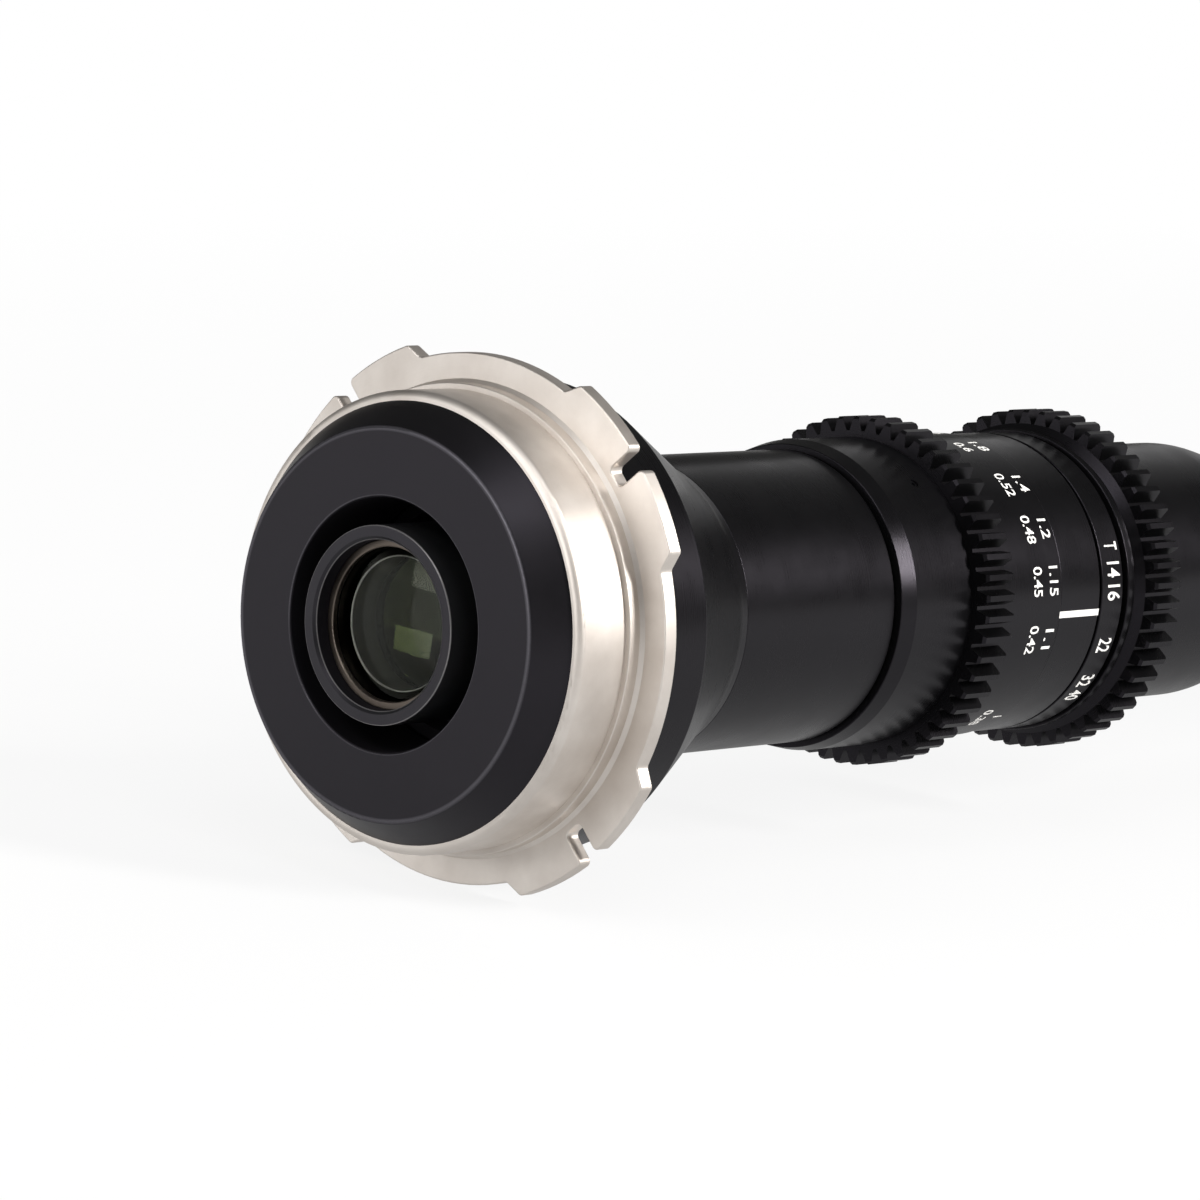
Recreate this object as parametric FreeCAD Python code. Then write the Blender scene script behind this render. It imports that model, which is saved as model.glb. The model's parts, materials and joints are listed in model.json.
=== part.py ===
import FreeCAD, Part
import math
import os

from FreeCAD import Vector

# Long slim macro probe lens for a cine camera.
# Millimetres and degrees. X is the optical axis and points from the camera to the tip.
# X = 0 is the seat of the camera mount flange. Angles run about X, from +Z towards -Y.

# Camera mount
spigot_radius = 27.0
spigot_wall = 2.8
spigot_reach = 9.8
spigot_lip_round = 0.9
step_rise = 0.7
step_length = 2.1
step_foot_bevel = 0.45
flange_thickness = 2.0
tab_count = 4
tab_reach = 6.1
gap_depth = 1.9
tab_half_angle = 20.5
tab_ramp_angle = 3.0
notch_width = 2.6
notch_depth = 4.1
flange_corner_round = 0.7
flange_edge_round = 0.2
web_rise = 1.0
web_width = 6.2
shim_thickness = 0.2
mount_screw_count = 6
mount_screw_radius = 1.0
mount_screw_head_radius = 1.9
mount_screw_head_height = 1.2
mount_screw_bite = 3.4

# Rear cap that closes the spigot
cap_length = 4.0
cap_rim_setback = 1.2
cap_bevel = 2.85
cap_bore_radius = 14.8
cap_bore_chamfer = 0.2
cap_edge_round = 0.5
cap_face_thickness = 2.2
cap_plug_length = 5.0
cap_plug_wall = 1.5
cap_baffle_wall = 1.3
cap_baffle_gap = 1.0

# Main tube and what turns on it
tube_bore_radius = 13.5
tube_wall = 1.5
running_clearance = 0.06
sleeve_wall = 1.5
ring_wall = 2.84
barrel_step = 1.2
index_step = 0.2
ring_gap = 0.5
tube_tuck = 11.9
edge_round = 0.15

# Mount base and rear barrel
drum_rise = 1.2
drum_length = 8.6
drum_edge_round = 0.4
cone_length = 19.3
cone_foot_length = 1.6
cone_foot_rise = 0.35
cone_foot_round = 4.0
base_web = 4.0
base_wall = 2.6
base_hub_length = 8.0
barrel_spigot_length = 5.0
barrel_spigot_wall = 1.6
rear_barrel_length = 28.0
rear_barrel_rib = 3.3
rear_barrel_wall = 1.8

# Tooth rings, as on all cine lenses
gear_module = 0.8
gear_root_rise = 0.8
gear_width = 5.6
gear_pressure_angle = 20.0
gear_end_chamfer = 0.35

# Focus ring
focus_ring_length = 31.8
focus_lip_rise = 0.7
focus_taper_length = 2.4
focus_gear_setback = 13.4
focus_screw_setback = 9.4
focus_screw_angles = (34.5, 214.5)
sleeve_margin = 1.5
focus_turn_near = 48.5
focus_turn_far = 121.5
focus_travel = 8.0
washer_thickness = 0.3
washer_width = 1.7

# Cam followers and the straight slots that guide them
follower_count = 3
follower_radius = 1.25
follower_clearance = 0.08
follower_seat_depth = 1.4
follower_setback = 17.5
follower_angle = 10.0
cam_slot_steps = 12

# Focus carriage and its lenses
carriage_wall = 2.6
carriage_lip = 1.2
carriage_lip_length = 2.0
carriage_behind_follower = 12.0
carriage_ahead_of_follower = 6.0
focus_lens_edge = 3.0
focus_spacer_length = 6.0
focus_retainer_length = 1.5

# Fixed index ring
index_gap = 0.15
index_ring_length = 8.2
set_screw_radius = 0.6
set_screw_recess = 0.25
screw_clearance = 0.02
index_screw_angles = (210.0, 300.0)

# Aperture ring
band_length = 4.4
band_groove_width = 0.7
band_groove_depth = 0.6
rib_length = 1.0
rib_rise = 0.35
rib_groove_width = 1.0
rib_groove_depth = 0.15
gear_lead_length = 0.8
aperture_open_turn = 16.0
aperture_closed_turn = 39.0

# Iris
blade_count = 7
iris_setback = 2.3
iris_base_thickness = 1.4
iris_opening_radius = 5.2
blade_thickness = 0.10
blade_pitch = 0.15
blade_inner_radius = 6.0
blade_band_width = 3.6
blade_sweep = 108.0
blade_pivot_radius = 10.8
blade_drive_radius = 11.2
blade_drive_angle = 27.0
blade_ear_radius = 1.1
blade_swing = 22.3
stud_radius = 0.45
stud_clearance = 0.05
stud_bite = 0.9
cam_ring_thickness = 1.6
cam_ring_bore_radius = 7.6
iris_retainer_thickness = 1.4
iris_gap = 0.05
drive_pin_radius = 0.5
drive_pin_angle = 180.0
drive_pin_bite = 1.2
slot_steps = 12

# Nose barrel
nose_gap = 0.3
nose_step = 2.5
nose_straight_length = 24.0
nose_cone_angle = 13.7
nose_shoulder_round = 20.0
nose_collar_wall = 1.4
nose_collar_length = 4.4
nose_stop = 1.0
nose_hollow_wall = 2.9
nose_bore_length = 12.0

# Probe tube and relay tube
probe_radius = 10.0
probe_wall = 1.0
probe_exposed_length = 220.0
relay_radius = 8.0
relay_wall = 1.0
relay_flange_length = 6.0
relay_lip = 1.0
relay_lip_length = 1.5
relay_lens_count = 6
relay_lens_edge = 5.0
relay_spacer_length = 38.0
relay_retainer_length = 2.5

# Tip
tip_length = 16.0
tip_joint_length = 5.2
tip_skirt_wall = 0.5
tip_edge_round = 0.6
seal_length = 1.0
board_setback = 5.0
board_thickness = 1.0
chip_count = 8
chip_size = 1.8
chip_height = 0.7
window_recess = 0.4
window_thickness = 1.4
objective_cell_radius = 5.3
objective_cell_wall = 0.9
objective_recess = 0.3
objective_tail_length = 24.0
objective_flange_length = 8.0
objective_lip = 0.6
objective_lip_length = 2.0
objective_lens_edge = 4.0
front_lens_edge = 3.0
front_retainer_length = 1.1
front_retainer_lead = 0.25

# Rear lens cell
rear_cell_radius = 11.6
rear_cell_wall = 1.7
rear_cell_proud = 0.9
rear_cell_chamfer = 0.4
rear_cell_flange_length = 6.0
rear_cell_flange_setback = 3.0
rear_cell_tail_length = 5.0
rear_ring_recess = 2.1
rear_ring_length = 0.8
rear_ring_wall = 0.9
rear_lens_edge = 2.4
rear_spacer_length = 4.0
rear_spacer_wall = 2.3
rear_inner_lens_edge = 3.0
lens_bulge = 0.8

# Power port, its board and the flat cable to the light ring
port_width = 7.5
port_height = 2.6
port_depth = 5.5
port_shell = 0.35
port_recess = 0.5
port_pocket_clearance = 0.05
port_setback = 17.1
port_tongue_height = 0.6
port_tongue_length = 3.5
port_board_length = 12.0
port_board_width = 12.0
port_board_thickness = 1.0
cable_width = 2.4
cable_thickness = 0.4
cable_bend = 5.0
cable_lead = 2.0
cable_drop_length = 7.5

# Radii that follow from the fits
tube_radius = tube_bore_radius + tube_wall
sleeve_bore_radius = tube_radius + running_clearance
sleeve_radius = sleeve_bore_radius + sleeve_wall
barrel_radius = sleeve_radius + ring_wall
rear_barrel_radius = barrel_radius - barrel_step
index_radius = barrel_radius - index_step
spigot_bore_radius = spigot_radius - spigot_wall
register_radius = spigot_bore_radius - web_width
mount_screw_circle_radius = register_radius + web_width / 2
tab_radius = spigot_radius + tab_reach
gap_radius = tab_radius - gap_depth
notch_floor_radius = tab_radius - notch_depth
drum_radius = spigot_radius + drum_rise
cap_rim_radius = spigot_radius - cap_rim_setback
cap_face_radius = cap_rim_radius - cap_bevel
cap_baffle_radius = cap_bore_radius + cap_baffle_wall
gear_teeth = round(2 * (barrel_radius + gear_root_rise) / gear_module + 2.5)
gear_pitch_radius = gear_module * gear_teeth / 2
gear_tip_radius = gear_pitch_radius + gear_module
gear_root_radius = gear_pitch_radius - 1.25 * gear_module
carriage_radius = tube_bore_radius - running_clearance
carriage_bore_radius = carriage_radius - carriage_wall
cam_ring_radius = tube_bore_radius - running_clearance
nose_radius = barrel_radius - nose_step
nose_collar_radius = probe_radius + nose_collar_wall
probe_bore_radius = probe_radius - probe_wall
tip_skirt_bore_radius = probe_radius - tip_skirt_wall
relay_bore_radius = relay_radius - relay_wall
objective_bore_radius = objective_cell_radius - objective_cell_wall
rear_cell_bore_radius = rear_cell_radius - rear_cell_wall

# Stations along the axis, chained from the seat
spigot_end_x = -spigot_reach
cap_face_x = spigot_end_x - cap_length
base_rear_x = flange_thickness + shim_thickness
drum_front_x = base_rear_x + drum_length
base_front_x = drum_front_x + cone_length
rear_barrel_front_x = base_front_x + rear_barrel_length
focus_rear_x = rear_barrel_front_x + ring_gap
focus_front_x = focus_rear_x + focus_ring_length
follower_x = focus_rear_x + follower_setback
index_rear_x = focus_front_x + index_gap
index_front_x = index_rear_x + index_ring_length
aperture_rear_x = index_front_x + ring_gap
band_front_x = aperture_rear_x + band_length
rib_rear_x = band_front_x + band_groove_width
rib_front_x = rib_rear_x + rib_length
lead_rear_x = rib_front_x + rib_groove_width
aperture_gear_x = lead_rear_x + gear_lead_length
aperture_front_x = aperture_gear_x + gear_width
iris_x = aperture_rear_x + iris_setback
blades_x = iris_x + iris_base_thickness + iris_gap
cam_ring_x = blades_x + blade_count * blade_pitch + iris_gap
iris_retainer_x = cam_ring_x + cam_ring_thickness + iris_gap
nose_rear_x = aperture_front_x + nose_gap
tube_front_x = nose_rear_x + tube_tuck
nose_shoulder_x = nose_rear_x + nose_straight_length
nose_cone_drop = nose_radius - nose_collar_radius
nose_cone_x = nose_shoulder_x + nose_cone_drop / math.tan(math.radians(nose_cone_angle))
nose_front_x = nose_cone_x + nose_collar_length
probe_rear_x = nose_front_x - nose_bore_length
tip_rear_x = nose_front_x + probe_exposed_length
tip_x = tip_rear_x + tip_length
probe_front_x = tip_rear_x + tip_joint_length
objective_x = tip_x - objective_recess
objective_rear_x = objective_x - objective_tail_length
relay_rear_x = tube_front_x - relay_flange_length - nose_stop
relay_front_x = objective_rear_x + objective_flange_length
board_x = tip_x - board_setback
follower_step = 360.0 / follower_count
focus_turn = focus_turn_near + focus_turn_far
focus_slide_per_degree = focus_travel / focus_turn
travel_ahead = focus_slide_per_degree * focus_turn_near
travel_behind = focus_slide_per_degree * focus_turn_far
aperture_turn = aperture_open_turn + aperture_closed_turn
blade_turn_per_degree = blade_swing / aperture_turn
blade_rest_swing = blade_turn_per_degree * aperture_open_turn

# Ends of cuts that have to run clear of what they cut
overcut = 1.0

axis = Vector(1, 0, 0)
origin = Vector(0, 0, 0)


def polar(x, radius, angle):
    """Point at a radius and an angle about the lens axis."""
    turn = math.radians(angle)
    return Vector(x, -radius * math.sin(turn), radius * math.cos(turn))


def outward(angle):
    """Unit vector that points away from the lens axis."""
    return polar(0, 1, angle)


def rounded_wire(corners):
    """Closed wire through (x, y) corners in the XY plane. A third value rounds the corner."""
    count = len(corners)
    entries = []
    for index, corner in enumerate(corners):
        here = Vector(corner[0], corner[1], 0)
        radius = corner[2] if len(corner) > 2 else 0
        if not radius:
            entries.append((here, here, None))
            continue
        last = corners[index - 1]
        following = corners[(index + 1) % count]
        to_last = (Vector(last[0], last[1], 0) - here).normalize()
        to_next = (Vector(following[0], following[1], 0) - here).normalize()
        half = to_last.getAngle(to_next) / 2
        setback = radius / math.tan(half)
        middle = (to_last + to_next).normalize()
        start = here + to_last * setback
        end = here + to_next * setback
        crown = here + middle * (radius / math.sin(half) - radius)
        entries.append((start, end, crown))
    edges = []
    for index, (start, end, crown) in enumerate(entries):
        if crown:
            edges.append(Part.Arc(start, crown, end).toShape())
        next_start = entries[(index + 1) % count][0]
        if (next_start - end).Length > 1e-7:
            edges.append(Part.LineSegment(end, next_start).toShape())
    return Part.Wire(edges)


def turned(corners):
    """Solid turned about the lens axis from (x, radius) corners."""
    return Part.Face(rounded_wire(corners)).revolve(origin, axis, 360)


def ring(x_rear, x_front, inner, outer, round_radius=0):
    """Plain turned ring, with its four edges rounded where a radius is given."""
    corners = [(x_rear, inner), (x_rear, outer), (x_front, outer), (x_front, inner)]
    return turned([corner + (round_radius,) for corner in corners])


def dished_arc(x, clear_radius, bulge):
    """Section of a spherical lens face, from its crown on the axis to its clear radius."""
    crown = Vector(x + bulge, 0, 0)
    sphere = (clear_radius ** 2 + bulge ** 2) / (2 * abs(bulge))
    half = math.asin(clear_radius / sphere) / 2
    sag = math.copysign(sphere * (1 - math.cos(half)), bulge)
    middle = Vector(crown.x - sag, sphere * math.sin(half), 0)
    return Part.Arc(crown, middle, Vector(x, clear_radius, 0)).toShape()


def lens_element(x_rear, x_front, radius, rear_face, front_face):
    """Lens with a flat rim. Each face is a clear radius and how far its middle lies ahead of the rim."""
    rear_arc = dished_arc(x_rear, *rear_face)
    front_arc = dished_arc(x_front, *front_face)
    rear_rim = rear_arc.Vertexes[-1].Point
    front_rim = front_arc.Vertexes[-1].Point
    points = [rear_rim, Vector(x_rear, radius, 0), Vector(x_front, radius, 0), front_rim]
    edges = [Part.LineSegment(a, b).toShape() for a, b in zip(points, points[1:])]
    edges.append(front_arc)
    crowns = (front_arc.Vertexes[0].Point, rear_arc.Vertexes[0].Point)
    edges.append(Part.LineSegment(*crowns).toShape())
    edges.append(rear_arc)
    return Part.Face(Part.Wire(edges)).revolve(origin, axis, 360)


def radial_pin(x, angle, inner, outer, radius):
    """Pin that points away from the lens axis."""
    return Part.makeCylinder(radius, outer - inner, polar(x, inner, angle), outward(angle))


def axial_pin(x_rear, x_front, at_radius, angle, radius):
    """Pin that lies along the lens axis."""
    return Part.makeCylinder(radius, x_front - x_rear, polar(x_rear, at_radius, angle), axis)


def around(shape, count, start=0.0):
    """Copies of a shape spaced evenly about the lens axis."""
    copies = []
    for index in range(count):
        copy = shape.copy()
        copy.rotate(origin, axis, start + 360.0 * index / count)
        copies.append(copy)
    return copies


def one_solid(shape):
    """The single solid that a boolean operation left, without its seams."""
    return shape.removeSplitter().Solids[0]


def loose(solids):
    """Group of separate solids in one node."""
    return Part.makeCompound(solids)


def gear_band(x_rear):
    """Ring of straight teeth with bevelled ends, bored to the barrel's radius."""
    pitch_half = math.degrees(math.pi * gear_module / 4 / gear_pitch_radius)
    slope = math.tan(math.radians(gear_pressure_angle))
    tip_half = pitch_half - math.degrees(gear_module * slope / gear_tip_radius)
    root_half = pitch_half + math.degrees(1.25 * gear_module * slope / gear_root_radius)
    points = []
    for tooth in range(gear_teeth):
        middle = 360.0 * tooth / gear_teeth
        points.append(polar(x_rear, gear_root_radius, middle - root_half))
        points.append(polar(x_rear, gear_tip_radius, middle - tip_half))
        points.append(polar(x_rear, gear_tip_radius, middle + tip_half))
        points.append(polar(x_rear, gear_root_radius, middle + root_half))
    blank = Part.Face(Part.makePolygon(points + points[:1])).extrude(axis * gear_width)
    x_front = x_rear + gear_width
    bore = barrel_radius - ring_wall / 2
    shoulder = gear_tip_radius - gear_end_chamfer
    envelope = turned([
        (x_rear, bore),
        (x_rear, shoulder),
        (x_rear + gear_end_chamfer, gear_tip_radius + overcut / 100),
        (x_front - gear_end_chamfer, gear_tip_radius + overcut / 100),
        (x_front, shoulder),
        (x_front, bore),
    ])
    return blank.common(envelope)


def flange_outline(x):
    """Outline of the bayonet flange: four tabs, each with a notch, and a gap between tabs."""
    notch_half = math.degrees(notch_width / 2 / tab_radius)
    floor_half = math.degrees(notch_width / 2 / notch_floor_radius)
    gap_half = 180.0 / tab_count - tab_half_angle
    edges = []
    for tab in range(tab_count):
        middle = 360.0 * (tab + 0.5) / tab_count
        low_ramp = middle - tab_half_angle - tab_ramp_angle
        low = middle - tab_half_angle
        high = middle + tab_half_angle
        high_ramp = high + tab_ramp_angle
        stations = [
            (gap_radius, low_ramp),
            (tab_radius, low),
            (tab_radius, middle - notch_half),
            (notch_floor_radius, middle - floor_half),
            (notch_floor_radius, middle + floor_half),
            (tab_radius, middle + notch_half),
            (tab_radius, high),
            (gap_radius, high_ramp),
            (gap_radius, low_ramp + 360.0 / tab_count),
        ]
        for (radius, angle), (next_radius, next_angle) in zip(stations, stations[1:]):
            start = polar(x, radius, angle)
            end = polar(x, next_radius, next_angle)
            if radius == next_radius:
                crown = polar(x, radius, (angle + next_angle) / 2)
                edges.append(Part.Arc(start, crown, end).toShape())
            else:
                edges.append(Part.LineSegment(start, end).toShape())
    return Part.Wire(edges)


def make_mount_ring():
    flange = Part.Face(flange_outline(0)).extrude(axis * flange_thickness)
    corners = [edge for edge in flange.Edges if edge.Vertexes[0].X != edge.Vertexes[-1].X]
    flange = flange.makeFillet(flange_corner_round, corners)
    rims = [edge for edge in flange.Edges if edge.BoundBox.XLength < 1e-6]
    flange = flange.makeFillet(flange_edge_round, rims)
    bore_length = flange_thickness + 2 * overcut
    flange = flange.cut(Part.makeCylinder(register_radius, bore_length, Vector(-overcut, 0, 0), axis))
    step_radius = spigot_radius + step_rise
    spigot = turned([
        (spigot_end_x, spigot_bore_radius, edge_round),
        (spigot_end_x, spigot_radius, spigot_lip_round),
        (-step_length, spigot_radius),
        (-step_length, step_radius, edge_round),
        (-step_foot_bevel, step_radius),
        (0, step_radius + step_foot_bevel),
        (flange_thickness / 2, step_radius + step_foot_bevel),
        (flange_thickness / 2, register_radius),
        (-web_rise, register_radius),
        (-web_rise, spigot_bore_radius),
    ])
    body = flange.fuse(spigot)
    hole = axial_pin(
        -web_rise - overcut,
        flange_thickness + overcut,
        mount_screw_circle_radius,
        0,
        mount_screw_radius + screw_clearance,
    )
    return one_solid(body.cut(around(hole, mount_screw_count)))


def make_mount_screws():
    shank = axial_pin(
        -web_rise - mount_screw_head_height / 2,
        base_rear_x + mount_screw_bite,
        mount_screw_circle_radius,
        0,
        mount_screw_radius,
    )
    head = axial_pin(
        -web_rise - mount_screw_head_height,
        -web_rise,
        mount_screw_circle_radius,
        0,
        mount_screw_head_radius,
    )
    drive = axial_pin(
        -web_rise - mount_screw_head_height - overcut,
        -web_rise - mount_screw_head_height / 2,
        mount_screw_circle_radius,
        0,
        mount_screw_radius,
    )
    screw = one_solid(shank.fuse(head).cut(drive))
    return loose(around(screw, mount_screw_count))


def make_flange_shim():
    shim = ring(flange_thickness, base_rear_x, register_radius, spigot_radius)
    hole = axial_pin(
        flange_thickness - overcut,
        base_rear_x + overcut,
        mount_screw_circle_radius,
        0,
        mount_screw_radius + screw_clearance,
    )
    return one_solid(shim.cut(around(hole, mount_screw_count)))


def make_rear_cap():
    inside_x = cap_face_x + cap_face_thickness
    return turned([
        (cap_face_x, cap_bore_radius + cap_bore_chamfer),
        (cap_face_x, cap_face_radius, cap_edge_round),
        (spigot_end_x, cap_rim_radius),
        (spigot_end_x, spigot_bore_radius),
        (spigot_end_x + cap_plug_length, spigot_bore_radius),
        (spigot_end_x + cap_plug_length, spigot_bore_radius - cap_plug_wall),
        (inside_x, spigot_bore_radius - cap_plug_wall),
        (inside_x, cap_baffle_radius),
        (-web_rise - cap_baffle_gap, cap_baffle_radius),
        (-web_rise - cap_baffle_gap, cap_bore_radius),
        (cap_face_x + cap_bore_chamfer, cap_bore_radius),
    ])


def make_mount_base():
    foot_x = base_front_x - cone_foot_length
    foot_radius = rear_barrel_radius + cone_foot_rise
    spigot_x = base_front_x - barrel_spigot_length
    hub_x = base_front_x - base_hub_length
    web_x = base_rear_x + base_web
    slope = (drum_radius - foot_radius) / (foot_x - drum_front_x)
    hollow_radius = drum_radius - base_wall
    hub_hollow_radius = hollow_radius - slope * (hub_x - drum_front_x)
    body = turned([
        (-web_rise, tube_radius),
        (-web_rise, register_radius),
        (base_rear_x, register_radius),
        (base_rear_x, drum_radius, drum_edge_round),
        (drum_front_x, drum_radius, drum_edge_round),
        (foot_x, foot_radius, cone_foot_round),
        (base_front_x, rear_barrel_radius),
        (base_front_x, tube_radius + barrel_spigot_wall),
        (spigot_x, tube_radius + barrel_spigot_wall),
        (spigot_x, tube_radius),
        (hub_x, tube_radius),
        (hub_x, hub_hollow_radius),
        (drum_front_x, hollow_radius),
        (web_x, hollow_radius),
        (web_x, tube_radius),
    ])
    hole = axial_pin(
        base_rear_x - overcut,
        base_rear_x + mount_screw_bite,
        mount_screw_circle_radius,
        0,
        mount_screw_radius + screw_clearance,
    )
    return one_solid(body.cut(around(hole, mount_screw_count)))


def make_rear_barrel():
    spigot_x = base_front_x - barrel_spigot_length
    hollow_radius = rear_barrel_radius - rear_barrel_wall
    return turned([
        (spigot_x, tube_radius),
        (spigot_x, tube_radius + barrel_spigot_wall),
        (base_front_x, tube_radius + barrel_spigot_wall),
        (base_front_x, rear_barrel_radius, edge_round),
        (rear_barrel_front_x, rear_barrel_radius, edge_round),
        (rear_barrel_front_x, tube_radius),
        (rear_barrel_front_x - rear_barrel_rib, tube_radius),
        (rear_barrel_front_x - rear_barrel_rib, hollow_radius),
        (base_front_x + rear_barrel_rib, hollow_radius),
        (base_front_x + rear_barrel_rib, tube_radius),
    ])


def guide_slot(angle):
    """Straight slot in the main tube that a cam follower slides in."""
    half_width = follower_radius + follower_clearance
    rear_x = follower_x - travel_behind
    front_x = follower_x + travel_ahead
    inner = tube_bore_radius - overcut
    outer = tube_radius + overcut
    slab = Part.makeBox(
        front_x - rear_x,
        2 * half_width,
        outer - inner,
        Vector(rear_x, -half_width, inner),
    )
    slab.rotate(origin, axis, angle)
    ends = [radial_pin(x, angle, inner, outer, half_width) for x in (rear_x, front_x)]
    return slab.fuse(ends)


def make_main_tube():
    tube = ring(-web_rise, tube_front_x, tube_bore_radius, tube_radius)
    cuts = [guide_slot(follower_angle + follower_step * index) for index in range(follower_count)]
    pin_x = cam_ring_x + cam_ring_thickness / 2
    half_width = drive_pin_radius + stud_clearance
    spare = math.degrees(1.5 * half_width / tube_bore_radius)
    window = Part.makePolygon([
        Vector(pin_x - half_width, tube_bore_radius - overcut, 0),
        Vector(pin_x - half_width, tube_radius + overcut, 0),
        Vector(pin_x + half_width, tube_radius + overcut, 0),
        Vector(pin_x + half_width, tube_bore_radius - overcut, 0),
        Vector(pin_x - half_width, tube_bore_radius - overcut, 0),
    ])
    window = Part.Face(window).revolve(origin, axis, aperture_turn + 2 * spare)
    # The window starts on +Y, which is 270 degrees in the lens's own angles
    window.rotate(origin, axis, drive_pin_angle - aperture_closed_turn - spare - 270.0)
    cuts.append(window)
    return one_solid(tube.cut(cuts))


def helical_slot(angle):
    """Slot in the cam sleeve: straight pieces that follow the follower's helix."""
    half_width = follower_radius + follower_clearance
    inner = sleeve_bore_radius - overcut
    outer = sleeve_radius + overcut
    middle_radius = (sleeve_bore_radius + sleeve_radius) / 2
    step = focus_turn / cam_slot_steps
    helix_angle = math.degrees(math.atan(math.degrees(focus_slide_per_degree) / middle_radius))
    reach = 2 * outer * math.tan(math.radians(step / 2)) / math.cos(math.radians(helix_angle))
    pieces = []
    for index in range(cam_slot_steps):
        turn = -focus_turn_near + step * (index + 0.5)
        x = follower_x - focus_slide_per_degree * turn
        piece = Part.makeBox(
            2 * half_width,
            reach,
            outer - inner,
            Vector(-half_width, -reach / 2, inner),
        )
        piece.rotate(origin, Vector(0, 0, 1), helix_angle)
        piece.translate(Vector(x, 0, 0))
        piece.rotate(origin, axis, angle - turn)
        pieces.append(piece)
    for turn in (-focus_turn_near, focus_turn_far):
        x = follower_x - focus_slide_per_degree * turn
        pieces.append(radial_pin(x, angle - turn, inner, outer, half_width))
    return pieces


def make_cam_sleeve():
    sleeve = ring(
        focus_rear_x + sleeve_margin,
        focus_front_x - sleeve_margin,
        sleeve_bore_radius,
        sleeve_radius,
    )
    for index in range(follower_count):
        sleeve = sleeve.cut(helical_slot(follower_angle + follower_step * index))
    return sleeve.Solids[0]


def make_focus_ring():
    body = turned([
        (focus_rear_x, sleeve_radius),
        (focus_rear_x, rear_barrel_radius + focus_lip_rise, edge_round),
        (focus_rear_x + focus_taper_length, barrel_radius, 2 * edge_round),
        (focus_front_x, barrel_radius, edge_round),
        (focus_front_x, sleeve_radius),
    ])
    body = body.fuse(gear_band(focus_rear_x + focus_gear_setback))
    holes = [
        radial_pin(
            focus_rear_x + focus_screw_setback,
            angle,
            sleeve_radius - overcut / 2,
            barrel_radius + overcut,
            set_screw_radius + screw_clearance,
        )
        for angle in focus_screw_angles
    ]
    return one_solid(body.cut(holes))


def set_screws(x, angles, inner, outer):
    """Headless screws, each with a round socket."""
    screws = []
    for angle in angles:
        socket = radial_pin(x, angle, outer - set_screw_radius, outer + overcut, set_screw_radius / 2)
        screws.append(radial_pin(x, angle, inner, outer, set_screw_radius).cut(socket).Solids[0])
    return loose(screws)


def make_focus_ring_screws():
    return set_screws(
        focus_rear_x + focus_screw_setback,
        focus_screw_angles,
        sleeve_radius,
        barrel_radius - set_screw_recess,
    )


def make_thrust_washers():
    inner = tube_radius + running_clearance
    rear_play = (ring_gap - washer_thickness) / 2
    rear_x = rear_barrel_front_x + rear_play
    aperture_x = index_front_x + rear_play
    return loose([
        ring(rear_x, rear_x + washer_thickness, inner, inner + washer_width),
        ring(aperture_x, aperture_x + washer_thickness, inner, inner + washer_width),
    ])


focus_clear_radius = carriage_bore_radius - carriage_lip
focus_lens_x = follower_x - carriage_behind_follower + carriage_lip_length
focus_spacer_x = focus_lens_x + focus_lens_edge
focus_front_lens_x = focus_spacer_x + focus_spacer_length
focus_retainer_x = focus_front_lens_x + focus_lens_edge


def make_focus_carriage():
    rear_x = follower_x - carriage_behind_follower
    front_x = follower_x + carriage_ahead_of_follower
    body = turned([
        (rear_x, focus_clear_radius),
        (rear_x, carriage_radius, edge_round),
        (front_x, carriage_radius, edge_round),
        (front_x, carriage_bore_radius),
        (focus_lens_x, carriage_bore_radius),
        (focus_lens_x, focus_clear_radius),
    ])
    seats = [
        radial_pin(
            follower_x,
            follower_angle + follower_step * index,
            carriage_radius - follower_seat_depth,
            carriage_radius + overcut,
            follower_radius + screw_clearance,
        )
        for index in range(follower_count)
    ]
    return one_solid(body.cut(seats))


def make_cam_followers():
    return loose([
        radial_pin(
            follower_x,
            follower_angle + follower_step * index,
            carriage_radius - follower_seat_depth,
            sleeve_radius - running_clearance,
            follower_radius,
        )
        for index in range(follower_count)
    ])


def make_focus_rear_lens():
    return lens_element(
        focus_lens_x,
        focus_spacer_x,
        carriage_bore_radius,
        (focus_clear_radius, -lens_bulge / 2),
        (focus_clear_radius, lens_bulge),
    )


def make_focus_spacer():
    return ring(focus_spacer_x, focus_front_lens_x, focus_clear_radius, carriage_bore_radius)


def make_focus_front_lens():
    return lens_element(
        focus_front_lens_x,
        focus_retainer_x,
        carriage_bore_radius,
        (focus_clear_radius, -lens_bulge),
        (focus_clear_radius, lens_bulge / 2),
    )


def make_focus_retaining_ring():
    front_x = focus_retainer_x + focus_retainer_length
    return ring(focus_retainer_x, front_x, focus_clear_radius, carriage_bore_radius)


def make_index_ring():
    body = ring(index_rear_x, index_front_x, tube_radius, index_radius, edge_round)
    holes = [
        radial_pin(
            (index_rear_x + index_front_x) / 2,
            angle,
            tube_radius - overcut / 2,
            index_radius + overcut,
            set_screw_radius + screw_clearance,
        )
        for angle in index_screw_angles
    ]
    return one_solid(body.cut(holes))


def make_index_ring_screws():
    return set_screws(
        (index_rear_x + index_front_x) / 2,
        index_screw_angles,
        tube_radius,
        index_radius - set_screw_recess,
    )


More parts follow.
